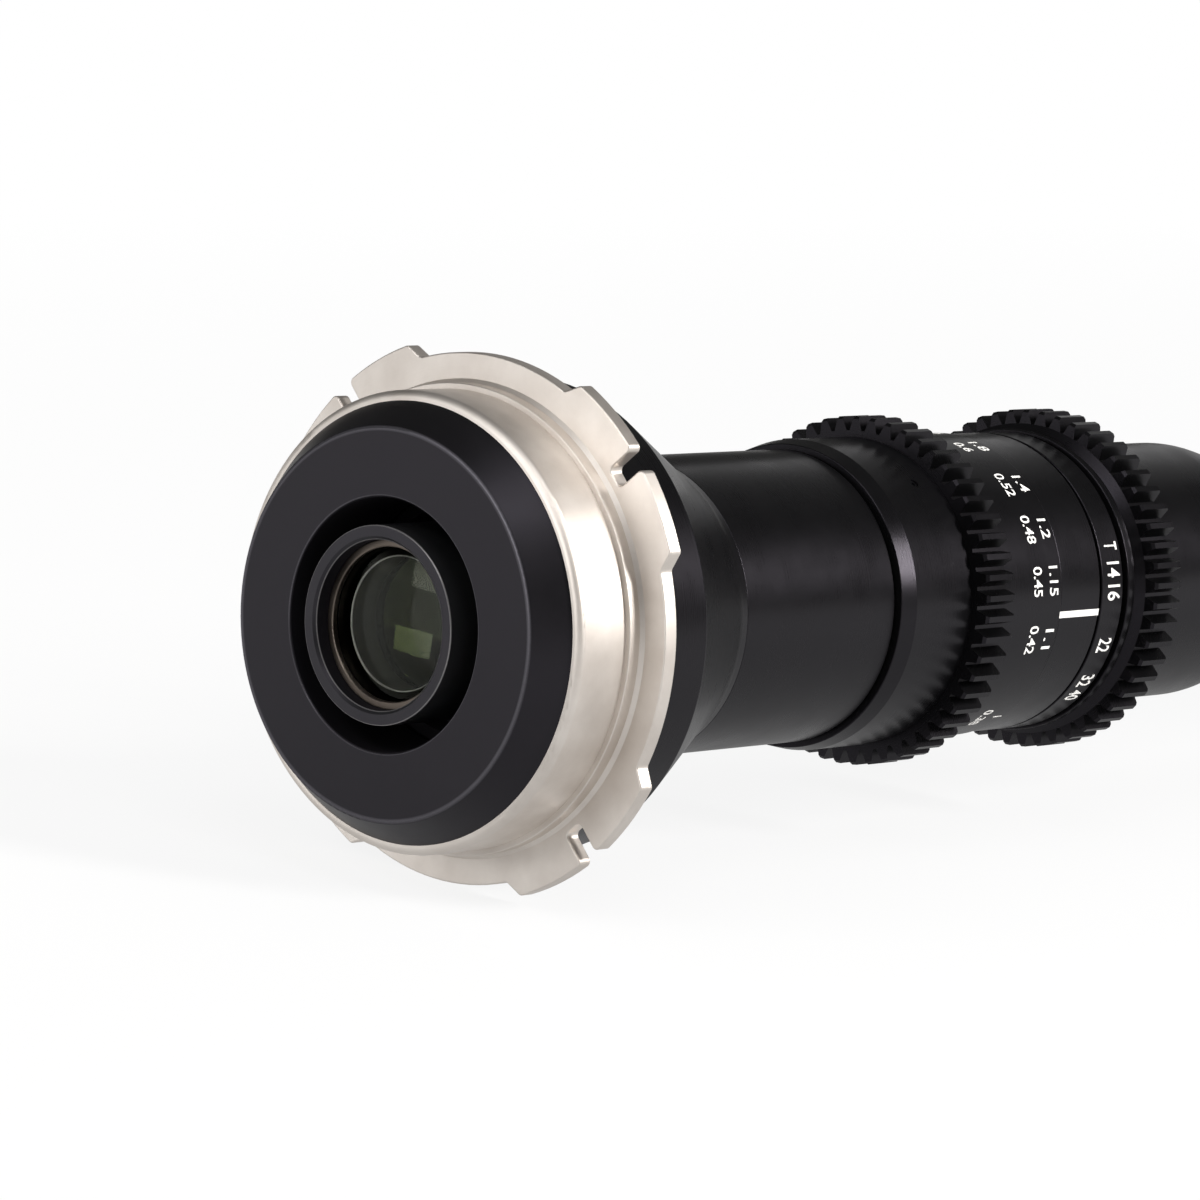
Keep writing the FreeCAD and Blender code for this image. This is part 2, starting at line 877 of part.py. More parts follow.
def make_aperture_ring():
    groove_radius = index_radius - band_groove_depth
    rib_radius = index_radius + rib_rise
    rib_groove_radius = index_radius - rib_groove_depth
    body = turned([
        (aperture_rear_x, sleeve_bore_radius),
        (aperture_rear_x, index_radius, edge_round),
        (band_front_x, index_radius, edge_round),
        (band_front_x, groove_radius),
        (rib_rear_x, groove_radius),
        (rib_rear_x, rib_radius, edge_round),
        (rib_front_x, rib_radius, edge_round),
        (rib_front_x, rib_groove_radius),
        (lead_rear_x, rib_groove_radius),
        (aperture_gear_x, gear_root_radius),
        (aperture_front_x, gear_root_radius, edge_round),
        (aperture_front_x, sleeve_bore_radius),
    ])
    body = body.fuse(gear_band(aperture_gear_x))
    pin_x = cam_ring_x + cam_ring_thickness / 2
    seat = radial_pin(
        pin_x,
        drive_pin_angle,
        sleeve_bore_radius - overcut,
        barrel_radius - ring_wall / 2,
        drive_pin_radius + screw_clearance,
    )
    return one_solid(body.cut(seat))


def make_iris_drive_pin():
    return radial_pin(
        cam_ring_x + cam_ring_thickness / 2,
        drive_pin_angle,
        cam_ring_radius - drive_pin_bite,
        barrel_radius - ring_wall / 2,
        drive_pin_radius,
    )


def make_iris_base():
    plate = ring(iris_x, iris_x + iris_base_thickness, iris_opening_radius, tube_bore_radius)
    hole = axial_pin(
        iris_x - overcut,
        iris_x + iris_base_thickness + overcut,
        blade_pivot_radius,
        0,
        stud_radius + stud_clearance,
    )
    return one_solid(plate.cut(around(hole, blade_count)))


def blade_band(x):
    """Curved strip that a blade is cut from, at the open pose, with its pivot at angle 0."""
    outer_radius = blade_inner_radius + blade_band_width
    middle_radius = blade_inner_radius + blade_band_width / 2
    round_angle = math.degrees(blade_band_width / 2 / middle_radius)
    inner_arc = Part.Arc(
        polar(x, blade_inner_radius, 0),
        polar(x, blade_inner_radius, -blade_sweep / 2),
        polar(x, blade_inner_radius, -blade_sweep),
    )
    tail_arc = Part.Arc(
        polar(x, blade_inner_radius, -blade_sweep),
        polar(x, middle_radius, -blade_sweep - round_angle),
        polar(x, outer_radius, -blade_sweep),
    )
    outer_arc = Part.Arc(
        polar(x, outer_radius, -blade_sweep),
        polar(x, outer_radius, -blade_sweep / 2),
        polar(x, outer_radius, 0),
    )
    head_arc = Part.Arc(
        polar(x, outer_radius, 0),
        polar(x, middle_radius, round_angle),
        polar(x, blade_inner_radius, 0),
    )
    wire = Part.Wire([arc.toShape() for arc in (inner_arc, tail_arc, outer_arc, head_arc)])
    return Part.Face(wire).extrude(axis * blade_thickness)


def blade_ear(x, at_radius, angle):
    """Lug that carries a stud outside the strip."""
    foot_radius = blade_inner_radius + blade_band_width / 2
    tab = Part.makeBox(
        blade_thickness,
        2 * blade_ear_radius,
        at_radius - foot_radius,
        Vector(x, -blade_ear_radius, foot_radius),
    )
    tab.rotate(origin, axis, angle)
    return tab.fuse(axial_pin(x, x + blade_thickness, at_radius, angle, blade_ear_radius))


def make_blade(index):
    x = blades_x + blade_pitch * index
    front_x = x + blade_thickness
    blade = blade_band(x).fuse([
        blade_ear(x, blade_pivot_radius, 0),
        blade_ear(x, blade_drive_radius, -blade_drive_angle),
        axial_pin(blades_x - iris_gap - stud_bite, front_x, blade_pivot_radius, 0, stud_radius),
        axial_pin(x, cam_ring_x + stud_bite, blade_drive_radius, -blade_drive_angle, stud_radius),
    ])
    blade = one_solid(blade)
    blade.rotate(polar(0, blade_pivot_radius, 0), axis, -blade_rest_swing)
    blade.rotate(origin, axis, 360.0 * index / blade_count)
    return blade


def stud_path_point(closing):
    """Where a drive stud lies on the cam ring, from 0 for open to 1 for closed."""
    pivot = polar(0, blade_pivot_radius, 0)
    stud = polar(0, blade_drive_radius, -blade_drive_angle)
    swing = FreeCAD.Rotation(axis, -blade_swing * closing)
    point = pivot + swing.multVec(stud - pivot)
    ring_turn = aperture_open_turn - aperture_turn * closing
    return FreeCAD.Rotation(axis, -ring_turn).multVec(point)


def cam_slot():
    """Slot in the cam ring that drives one blade's stud."""
    half_width = stud_radius + stud_clearance
    points = [stud_path_point(step / slot_steps) for step in range(slot_steps + 1)]
    left = []
    right = []
    for step, point in enumerate(points):
        ahead = points[min(step + 1, slot_steps)]
        behind = points[max(step - 1, 0)]
        sideways = axis.cross((ahead - behind).normalize()) * half_width
        left.append(point + sideways)
        right.append(point - sideways)
    start_cap = points[0] - (points[1] - points[0]).normalize() * half_width
    end_cap = points[-1] + (points[-1] - points[-2]).normalize() * half_width
    edges = [Part.LineSegment(a, b).toShape() for a, b in zip(left, left[1:])]
    edges.append(Part.Arc(left[-1], end_cap, right[-1]).toShape())
    right.reverse()
    edges += [Part.LineSegment(a, b).toShape() for a, b in zip(right, right[1:])]
    edges.append(Part.Arc(right[-1], start_cap, left[0]).toShape())
    slot = Part.Face(Part.Wire(edges)).extrude(axis * (cam_ring_thickness + 2 * overcut))
    slot.translate(Vector(cam_ring_x - overcut, 0, 0))
    return slot


def make_iris_cam_ring():
    plate = ring(
        cam_ring_x, cam_ring_x + cam_ring_thickness, cam_ring_bore_radius, cam_ring_radius
    )
    cuts = around(cam_slot(), blade_count)
    cuts.append(radial_pin(
        cam_ring_x + cam_ring_thickness / 2,
        drive_pin_angle,
        cam_ring_radius - drive_pin_bite,
        cam_ring_radius + overcut,
        drive_pin_radius + screw_clearance,
    ))
    return one_solid(plate.cut(cuts))


def make_iris_retainer():
    return ring(
        iris_retainer_x,
        iris_retainer_x + iris_retainer_thickness,
        cam_ring_bore_radius,
        tube_bore_radius,
    )


# The power port lies on the +Y side of the nose barrel, away from the index line
port_x = nose_rear_x + port_setback
port_mouth_y = nose_radius - port_recess
port_back_y = port_mouth_y - port_depth
port_board_y = port_back_y - port_board_thickness
nose_hollow_radius = nose_radius - nose_hollow_wall


def port_block(grow):
    """Outer block of the port shell, grown evenly for the pocket that it sits in."""
    return Part.makeBox(
        port_width + 2 * grow,
        port_depth + overcut * bool(grow),
        port_height + 2 * grow,
        Vector(port_x - port_width / 2 - grow, port_back_y, -port_height / 2 - grow),
    )


def make_nose_barrel():
    hollow_cone_x = nose_shoulder_x + nose_hollow_wall / 2 - nose_stop
    body = turned([
        (nose_rear_x, tube_radius),
        (nose_rear_x, nose_radius, edge_round),
        (nose_shoulder_x, nose_radius, nose_shoulder_round),
        (nose_cone_x, nose_collar_radius, nose_collar_wall),
        (nose_front_x, nose_collar_radius, 2 * edge_round),
        (nose_front_x, probe_radius),
        (probe_rear_x, probe_radius),
        (min(hollow_cone_x, probe_rear_x - overcut), nose_hollow_radius),
        (tube_front_x, nose_hollow_radius),
        (tube_front_x, tube_radius),
    ])
    return one_solid(body.cut(port_block(port_pocket_clearance)))


def make_power_port():
    shell = port_block(0)
    cavity = Part.makeBox(
        port_width - 2 * port_shell,
        port_depth,
        port_height - 2 * port_shell,
        Vector(
            port_x - port_width / 2 + port_shell,
            port_back_y + port_shell,
            -port_height / 2 + port_shell,
        ),
    )
    tongue = Part.makeBox(
        port_width - 4 * port_shell,
        port_tongue_length,
        port_tongue_height,
        Vector(
            port_x - port_width / 2 + 2 * port_shell,
            port_back_y + port_shell / 2,
            -port_tongue_height / 2,
        ),
    )
    return one_solid(shell.cut(cavity).fuse(tongue))


def make_port_board():
    return Part.makeBox(
        port_board_length,
        port_board_thickness,
        port_board_width,
        Vector(port_x - port_board_length / 2, port_board_y, -port_board_width / 2),
    )


def make_led_cable():
    """Flat cable from the port board, down into the gap round the relay tube, to the tip."""
    start_x = port_x + port_board_length / 2
    start_y = port_board_y + port_board_thickness / 2
    run_y = (relay_radius + probe_bore_radius) / 2
    half = cable_thickness / 2
    bend_x = start_x + cable_lead
    run_x = bend_x + cable_drop_length
    drop_angle = math.atan((start_y - run_y) / cable_drop_length)
    shift = half * math.tan(drop_angle / 2)
    wire = rounded_wire([
        (start_x, start_y - half),
        (start_x, start_y + half),
        (bend_x + shift, start_y + half, cable_bend + half),
        (run_x + shift, run_y + half, cable_bend - half),
        (board_x, run_y + half),
        (board_x, run_y - half),
        (run_x - shift, run_y - half, cable_bend + half),
        (bend_x - shift, start_y - half, cable_bend - half),
    ])
    strip = Part.Face(wire).extrude(Vector(0, 0, cable_width))
    strip.translate(Vector(0, 0, -cable_width / 2))
    return strip


def make_probe_tube():
    return turned([
        (probe_rear_x, probe_bore_radius),
        (probe_rear_x, probe_radius),
        (tip_rear_x, probe_radius, edge_round),
        (tip_rear_x, tip_skirt_bore_radius),
        (probe_front_x, tip_skirt_bore_radius),
        (probe_front_x, probe_bore_radius),
    ])


relay_clear_radius = relay_bore_radius - relay_lip
relay_stack_x = relay_rear_x + relay_lip_length
relay_pitch = relay_lens_edge + relay_spacer_length


def make_relay_tube():
    flange_x = relay_rear_x + relay_flange_length
    return turned([
        (relay_rear_x, relay_clear_radius),
        (relay_rear_x, tube_bore_radius),
        (flange_x, tube_bore_radius),
        (flange_x, relay_radius),
        (relay_front_x, relay_radius),
        (relay_front_x, relay_bore_radius),
        (relay_stack_x, relay_bore_radius),
        (relay_stack_x, relay_clear_radius),
    ])


def make_relay_lens(index):
    x = relay_stack_x + relay_pitch * index
    return lens_element(
        x,
        x + relay_lens_edge,
        relay_bore_radius,
        (relay_clear_radius, -lens_bulge),
        (relay_clear_radius, lens_bulge),
    )


def make_relay_spacers():
    spacers = []
    for index in range(relay_lens_count - 1):
        x = relay_stack_x + relay_pitch * index + relay_lens_edge
        spacers.append(ring(x, x + relay_spacer_length, relay_clear_radius, relay_bore_radius))
    return loose(spacers)


def make_relay_retaining_ring():
    x = relay_stack_x + relay_pitch * (relay_lens_count - 1) + relay_lens_edge
    return ring(x, x + relay_retainer_length, relay_clear_radius, relay_bore_radius)


def make_tip_housing():
    step_x = probe_front_x + seal_length
    return turned([
        (tip_rear_x, tip_skirt_bore_radius),
        (tip_rear_x, probe_radius, edge_round),
        (tip_x, probe_radius, tip_edge_round),
        (tip_x, probe_bore_radius),
        (step_x, probe_bore_radius),
        (step_x, tip_skirt_bore_radius),
    ])


def make_tip_seal():
    step_x = probe_front_x + seal_length
    return ring(probe_front_x, step_x, probe_bore_radius, tip_skirt_bore_radius)


def make_led_board():
    return ring(board_x, board_x + board_thickness, objective_cell_radius, probe_bore_radius)


def make_led_chips():
    middle_radius = (objective_cell_radius + probe_bore_radius) / 2
    chip = Part.makeBox(
        chip_height,
        chip_size,
        chip_size,
        Vector(board_x + board_thickness, -chip_size / 2, middle_radius - chip_size / 2),
    )
    return loose(around(chip, chip_count))


def make_led_window():
    front_x = tip_x - window_recess
    return ring(front_x - window_thickness, front_x, objective_cell_radius, probe_bore_radius)


objective_clear_radius = objective_bore_radius - objective_lip
objective_seat_x = objective_rear_x + objective_lip_length
front_retainer_x = objective_x - front_retainer_length
front_lens_x = front_retainer_x - front_lens_edge
objective_spacer_x = objective_seat_x + objective_lens_edge


def make_objective_cell():
    flange_x = objective_rear_x + objective_flange_length
    return turned([
        (objective_rear_x, objective_clear_radius),
        (objective_rear_x, relay_bore_radius),
        (flange_x, relay_bore_radius),
        (flange_x, objective_cell_radius),
        (objective_x, objective_cell_radius, edge_round),
        (objective_x, objective_bore_radius, edge_round),
        (objective_seat_x, objective_bore_radius),
        (objective_seat_x, objective_clear_radius),
    ])


def make_objective_lens():
    return lens_element(
        objective_seat_x,
        objective_spacer_x,
        objective_bore_radius,
        (objective_clear_radius, -lens_bulge / 2),
        (objective_clear_radius, lens_bulge / 2),
    )


def make_objective_spacer():
    return ring(objective_spacer_x, front_lens_x, objective_clear_radius, objective_bore_radius)


def make_front_lens():
    return lens_element(
        front_lens_x,
        front_retainer_x,
        objective_bore_radius,
        (objective_clear_radius, lens_bulge),
        (objective_clear_radius, lens_bulge / 2),
    )


def make_front_retaining_ring():
    return turned([
        (front_retainer_x, objective_clear_radius),
        (front_retainer_x, objective_bore_radius),
        (objective_x, objective_bore_radius),
        (objective_x, objective_bore_radius - front_retainer_lead),
    ])


rear_clear_radius = rear_cell_bore_radius - rear_spacer_wall
rear_ring_clear_radius = rear_cell_bore_radius - rear_ring_wall
rear_cell_x = cap_face_x - rear_cell_proud
rear_ring_x = rear_cell_x + rear_ring_recess
rear_lens_x = rear_ring_x + rear_ring_length
rear_spacer_x = rear_lens_x + rear_lens_edge
rear_inner_lens_x = rear_spacer_x + rear_spacer_length
rear_seat_x = rear_inner_lens_x + rear_inner_lens_edge


def make_rear_cell():
    flange_x = rear_cell_flange_setback
    flange_front_x = flange_x + rear_cell_flange_length
    tail_x = flange_front_x + rear_cell_tail_length
    return turned([
        (rear_cell_x, rear_cell_bore_radius + rear_cell_chamfer),
        (rear_cell_x, rear_cell_radius, edge_round),
        (flange_x, rear_cell_radius),
        (flange_x, tube_bore_radius),
        (flange_front_x, tube_bore_radius),
        (flange_front_x, rear_cell_radius),
        (tail_x, rear_cell_radius),
        (tail_x, rear_clear_radius),
        (rear_seat_x, rear_clear_radius),
        (rear_seat_x, rear_cell_bore_radius),
        (rear_cell_x + rear_cell_chamfer, rear_cell_bore_radius),
    ])


def make_rear_retaining_ring():
    return ring(
        rear_ring_x, rear_lens_x, rear_ring_clear_radius, rear_cell_bore_radius, edge_round
    )


def make_rear_lens():
    return lens_element(
        rear_lens_x,
        rear_spacer_x,
        rear_cell_bore_radius,
        (rear_ring_clear_radius, -lens_bulge),
        (rear_clear_radius, -lens_bulge / 2),
    )


def make_rear_spacer():
    return ring(
        rear_spacer_x, rear_inner_lens_x, rear_clear_radius, rear_cell_bore_radius, edge_round
    )


def make_rear_inner_lens():
    return lens_element(
        rear_inner_lens_x,
        rear_seat_x,
        rear_cell_bore_radius,
        (rear_clear_radius, -lens_bulge),
        (rear_clear_radius, lens_bulge),
    )


nodes = {
    "mount_ring": make_mount_ring,
    "mount_screws": make_mount_screws,
    "flange_shim": make_flange_shim,
    "rear_cap": make_rear_cap,
    "rear_cell": make_rear_cell,
    "rear_retaining_ring": make_rear_retaining_ring,
    "rear_lens": make_rear_lens,
    "rear_spacer": make_rear_spacer,
    "rear_inner_lens": make_rear_inner_lens,
    "mount_base": make_mount_base,
    "rear_barrel": make_rear_barrel,
    "main_tube": make_main_tube,
    "thrust_washers": make_thrust_washers,
    "index_ring": make_index_ring,
    "index_ring_screws": make_index_ring_screws,
    "iris_base": make_iris_base,
    "iris_retainer": make_iris_retainer,
    "nose_barrel": make_nose_barrel,
    "power_port": make_power_port,
    "port_board": make_port_board,
    "led_cable": make_led_cable,
    "probe_tube": make_probe_tube,
    "relay_tube": make_relay_tube,
    "relay_spacers": make_relay_spacers,
    "relay_retaining_ring": make_relay_retaining_ring,
    "tip_housing": make_tip_housing,
    "tip_seal": make_tip_seal,
    "led_board": make_led_board,
    "led_chips": make_led_chips,
    "led_window": make_led_window,
    "objective_cell": make_objective_cell,
    "objective_lens": make_objective_lens,
    "objective_spacer": make_objective_spacer,
    "front_lens": make_front_lens,
    "front_retaining_ring": make_front_retaining_ring,
    "focus_ring": make_focus_ring,
    "focus_cam_sleeve": make_cam_sleeve,
    "focus_ring_screws": make_focus_ring_screws,
    "focus_carriage": make_focus_carriage,
    "focus_rear_lens": make_focus_rear_lens,
    "focus_spacer": make_focus_spacer,
    "focus_front_lens": make_focus_front_lens,
    "focus_retaining_ring": make_focus_retaining_ring,
    "cam_followers": make_cam_followers,
    "aperture_ring": make_aperture_ring,
    "iris_drive_pin": make_iris_drive_pin,
    "iris_cam_ring": make_iris_cam_ring,
}

shapes = {name: make() for name, make in nodes.items()}
for lens_index in range(relay_lens_count):
    shapes["relay_lens_%d" % (lens_index + 1)] = make_relay_lens(lens_index)
for blade_index in range(blade_count):
    shapes["iris_blade_%d" % (blade_index + 1)] = make_blade(blade_index)

os.makedirs("parts", exist_ok=True)
for name, shape in shapes.items():
    shape.exportStep("parts/%s.step" % name)
    print("%-22s solids %d  volume %9.1f" % (name, len(shape.Solids), shape.Volume))
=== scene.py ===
"""Looks of a long probe lens, dressed over its CAD frame. Metres; X is the optical axis."""

import json
import math

import bpy
from mathutils import Matrix, Vector


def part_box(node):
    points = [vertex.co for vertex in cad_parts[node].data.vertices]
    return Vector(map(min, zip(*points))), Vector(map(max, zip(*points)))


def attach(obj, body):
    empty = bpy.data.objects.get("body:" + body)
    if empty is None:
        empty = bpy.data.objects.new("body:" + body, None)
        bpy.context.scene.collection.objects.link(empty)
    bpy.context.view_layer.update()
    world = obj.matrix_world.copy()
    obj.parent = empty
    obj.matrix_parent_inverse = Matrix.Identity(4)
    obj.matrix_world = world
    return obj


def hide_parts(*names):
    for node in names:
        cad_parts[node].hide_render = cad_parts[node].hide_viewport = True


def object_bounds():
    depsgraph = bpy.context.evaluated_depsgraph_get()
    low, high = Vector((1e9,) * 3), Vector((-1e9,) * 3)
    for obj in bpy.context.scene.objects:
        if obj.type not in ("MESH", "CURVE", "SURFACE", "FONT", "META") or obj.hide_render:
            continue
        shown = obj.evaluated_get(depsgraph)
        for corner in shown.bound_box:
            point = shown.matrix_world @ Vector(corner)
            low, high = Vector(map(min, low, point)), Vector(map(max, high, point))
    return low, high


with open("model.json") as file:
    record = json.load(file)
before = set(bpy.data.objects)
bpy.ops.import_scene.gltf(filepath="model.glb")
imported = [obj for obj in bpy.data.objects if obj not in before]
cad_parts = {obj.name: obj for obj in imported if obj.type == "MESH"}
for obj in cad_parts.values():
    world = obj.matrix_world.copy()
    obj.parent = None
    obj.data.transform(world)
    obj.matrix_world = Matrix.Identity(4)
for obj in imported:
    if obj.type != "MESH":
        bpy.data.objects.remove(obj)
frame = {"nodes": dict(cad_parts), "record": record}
cad_box = [list(corner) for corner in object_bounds()]

mm = 0.001
white = (1.0, 1.0, 1.0, 1.0)

# The photograph's view: angles in degrees, lengths in millimetres
camera_azimuth = 40.5
camera_elevation = 9.5
camera_roll = 6.84
camera_distance = 719.7
camera_aim = (24.4, 0.3, 1.04)
camera_focal_length = 180.0
camera_sensor_width = 36.0

# Nearest and farthest that the camera sees, in metres
camera_clip_near = 0.01
camera_clip_far = 50.0

# Soft lamps: name, direction from the lens, distance, width, height, watts, colour
lamp_aim = (0.08, 0.0, 0.0)
lamps = [
    ("key", (0.30, -0.80, 0.48), 1.1, 0.18, 0.46, 14.0, (1.0, 0.98, 0.96)),
    ("left_fill", (-0.92, 0.30, 0.13), 1.4, 0.8, 0.4, 4.5, (1.0, 1.0, 1.0)),
    ("rear_high", (-0.77, 0.03, 0.62), 1.2, 0.6, 0.3, 2.7, (1.0, 1.0, 1.0)),
    ("front_left", (0.84, 0.36, 0.28), 1.2, 0.5, 0.5, 0.5, (1.0, 1.0, 1.0)),
    ("overhead", (-0.28, -0.38, 0.88), 1.2, 0.6, 0.6, 3.0, (1.0, 1.0, 1.0)),
]

# Studio round the lens. What reflects it sees a bright horizon that fades with height
studio_fill = 0.4
horizon_colour = (1.0, 0.985, 0.965, 1.0)
horizon_glow = 1.0
overhead_glow = 0.08
horizon_height = 0.08

# Floor. Each pair of a share or glow is reached at its pair of distances from the axis
floor_half_width = 4.0
floor_gap = 0.2 * mm
floor_shade = 0.8
floor_roughness = 0.9
seen_share = (0.86, 1.0)
seen_distance = (0.1, 0.5)
mirrored_share = 0.95
# What gloss and glass see of the floor glows dimmer near the lens: a painted shadow
shadowed_mirror_glow = (0.56, 0.78)
shadowed_mirror_distance = (0.02, 0.12)

# Scales of the noises in turned metal, per millimetre
ring_scale = 7.0
grain_scale = 9.0
stain_scale = 0.16

# How far rings, and the painted highlights on turned edges, change the roughness of turned
# metal
ring_roughness = 0.025
glint_polish = 0.12

# Inside of bores: dull, and darker as painted shade
bore_shade_colour = (0.0008, 0.0008, 0.0009, 1.0)
bore_roughness = 0.8

# Rings that a lathe leaves run round X, a quarter turn from the radial tangent
ring_direction = 0.25

# Painted highlights on turned edges, as bright metal, in millimetres: place ahead of the node's
# rear face, radius, width
cap_glints = [(0.1, 22.7, 0.35), (0.0, 14.95, 0.14)]
cell_glints = [(0.05, 11.6, 0.16), (0.4, 10.0, 0.12)]
spacer_glints = [(0.05, 7.6, 0.24)]
# Radii of the bores, in millimetres, inside which that painted shade lies
cap_bore_radius = 14.9
cell_bore_radius = 9.95

# Rear glass: the clear radii of its two elements, and how far their faces bulge
rear_clear_radius = 9.0 * mm
inner_clear_radius = 7.6 * mm
lens_bulge = 0.8 * mm
glass_rings = 24
glass_turns = 128
glass_sharp_angle = 8.0

# Radii and places of the dials, read from the frame
index_low, index_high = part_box("index_ring")
index_radius = index_high.z
focus_radius = index_radius + 0.2 * mm
focus_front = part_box("focus_ring")[1].x
aperture_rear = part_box("aperture_ring")[0].x

# Index line. An angle runs about X, in degrees from +Z towards -Y
index_angle = 90.5
index_width = 0.85 * mm
index_steps = 6

# Paint of the dials: how far it stands proud, and how thick it is
paint_proud = 0.012 * mm
paint_depth = 0.03 * mm

# Focus dial: angle, metres, feet
focus_digit_height = 1.75 * mm
focus_digit_advance = 1.18 * mm
focus_metric_setback = 4.85 * mm
focus_feet_setback = 1.6 * mm
focus_marks = [
    (-31.5, "1.5", "5"),
    (-9.0, "0.8", "2.6"),
    (13.5, "0.6", "1.8"),
    (37.5, "0.52", "1.4"),
    (57.3, "0.48", "1.2"),
    (77.3, "0.45", "1.15"),
    (99.5, "0.42", "1.1"),
    (138.5, "0.38", "1"),
]

# Aperture dial: angle, figures
aperture_digit_height = 2.6 * mm
aperture_digit_advance = 1.08 * mm
aperture_row = 2.5 * mm
aperture_marks = [
    (65.5, "T"),
    (74.7, "14"),
    (83.5, "16"),
    (104.5, "22"),
    (121.0, "32"),
    (129.0, "40"),
]

# Figures: stroke added to the typeface, and widths as shares of the advance or of a figure
figure_stroke = 0.012
figure_curve_steps = 6
figure_fill = 0.93
single_figure_width = 0.6
point_width = 0.45


class Graph:
    """Short calls for the node tree of one material or world."""

    def __init__(self, owner):
        self.owner = owner
        owner.use_nodes = True
        self.tree = owner.node_tree
        self.surface = self.tree.nodes.get("Principled BSDF")

    def add(self, kind, **settings):
        node = self.tree.nodes.new(kind)
        for key, value in settings.items():
            setattr(node, key, value)
        return node

    def link(self, source, target):
        if isinstance(source, (int, float, tuple)):
            target.default_value = source
        else:
            self.tree.links.new(source, target)

    def math(self, operation, first, second=0.0, third=0.0, clamp=False):
        node = self.add("ShaderNodeMath", operation=operation, use_clamp=clamp)
        for socket, value in zip(node.inputs, (first, second, third)):
            self.link(value, socket)
        return node.outputs[0]

    def parts(self, vector):
        node = self.add("ShaderNodeSeparateXYZ")
        self.link(vector, node.inputs[0])
        return node.outputs

    def coordinates(self, kind):
        return self.add("ShaderNodeTexCoord").outputs[kind]

    def place(self):
        """Object coordinates in millimetres: the vector, the axial place and the radius."""
        scaled = self.add("ShaderNodeVectorMath", operation="SCALE")
        self.link(self.coordinates("Object"), scaled.inputs[0])
        self.link(1 / mm, scaled.inputs["Scale"])
        vector = scaled.outputs[0]
        parts = self.parts(vector)
        across = self.math("MULTIPLY", parts["Y"], parts["Y"])
        squares = self.math("MULTIPLY_ADD", parts["Z"], parts["Z"], across)
        return vector, parts["X"], self.math("SQRT", squares)

    def noise(self, vector, scale, detail=3.0, roughness=0.55):
        node = self.add("ShaderNodeTexNoise")
        self.link(vector, node.inputs["Vector"])
        self.link(scale, node.inputs["Scale"])
        self.link(detail, node.inputs["Detail"])
        self.link(roughness, node.inputs["Roughness"])
        return node.outputs["Fac"]

    def line_noise(self, value, scale, detail=2.0):
        """Noise along one number, for the fine rings that a lathe leaves."""
        node = self.add("ShaderNodeTexNoise", noise_dimensions="1D")
        self.link(value, node.inputs["W"])
        self.link(scale, node.inputs["Scale"])
        self.link(detail, node.inputs["Detail"])
        return node.outputs["Fac"]

    def spread(self, value, to_low, to_high, from_low=0.3, from_high=0.7, shape="LINEAR"):
        """Maps a range of a value to another range. The default takes the middle of a noise."""
        node = self.add("ShaderNodeMapRange", interpolation_type=shape)
        self.link(value, node.inputs["Value"])
        self.link(from_low, node.inputs["From Min"])
        self.link(from_high, node.inputs["From Max"])
        self.link(to_low, node.inputs["To Min"])
        self.link(to_high, node.inputs["To Max"])
        return node.outputs["Result"]

    def blend(self, factor, first, second):
        node = self.add("ShaderNodeMix", data_type="RGBA")
        self.link(factor, node.inputs["Factor"])
        self.link(first, node.inputs["A"])
        self.link(second, node.inputs["B"])
        return node.outputs["Result"]

    def mix_shaders(self, factor, first, second):
        node = self.add("ShaderNodeMixShader")
        self.link(factor, node.inputs["Fac"])
        self.link(first, node.inputs[1])
        self.link(second, node.inputs[2])
        return node.outputs[0]

    def background(self, colour, strength):
        node = self.add("ShaderNodeBackground")
        self.link(colour, node.inputs["Color"])
        self.link(strength, node.inputs["Strength"])
        return node.outputs[0]

    def rays(self):
        """One on rays from the camera, and one on rays that gloss or glass sends on."""
        path = self.add("ShaderNodeLightPath").outputs
        mirrored = self.math("MAXIMUM", path["Is Glossy Ray"], path["Is Transmission Ray"])
        return path["Is Camera Ray"], mirrored

    def bump(self, height, distance, below=None):
        node = self.add("ShaderNodeBump")
        self.link(1.0, node.inputs["Strength"])
        self.link(distance, node.inputs["Distance"])
        self.link(height, node.inputs["Height"])
        if below:
            self.link(below, node.inputs["Normal"])
        return node.outputs["Normal"]

    def near_edge(self, axial, radius, edge_x, edge_radius, width):
        """One on a turned edge at (x, radius), fading to nothing a width away."""
        along = self.math("SUBTRACT", axial, edge_x)
        outward = self.math("SUBTRACT", radius, edge_radius)
        along_squared = self.math("MULTIPLY", along, along)
        squares = self.math("MULTIPLY_ADD", outward, outward, along_squared)
        gap = self.math("SQRT", squares)
        return self.math("SUBTRACT", 1.0, self.math("DIVIDE", gap, width), clamp=True)

    def set(self, **values):
        for name, value in values.items():
            self.link(value, self.surface.inputs[name.replace("_", " ")])


def new_material(name):
    return Graph(bpy.data.materials.new(name))


def rgb(red, green, blue):
    return (red, green, blue, 1.0)


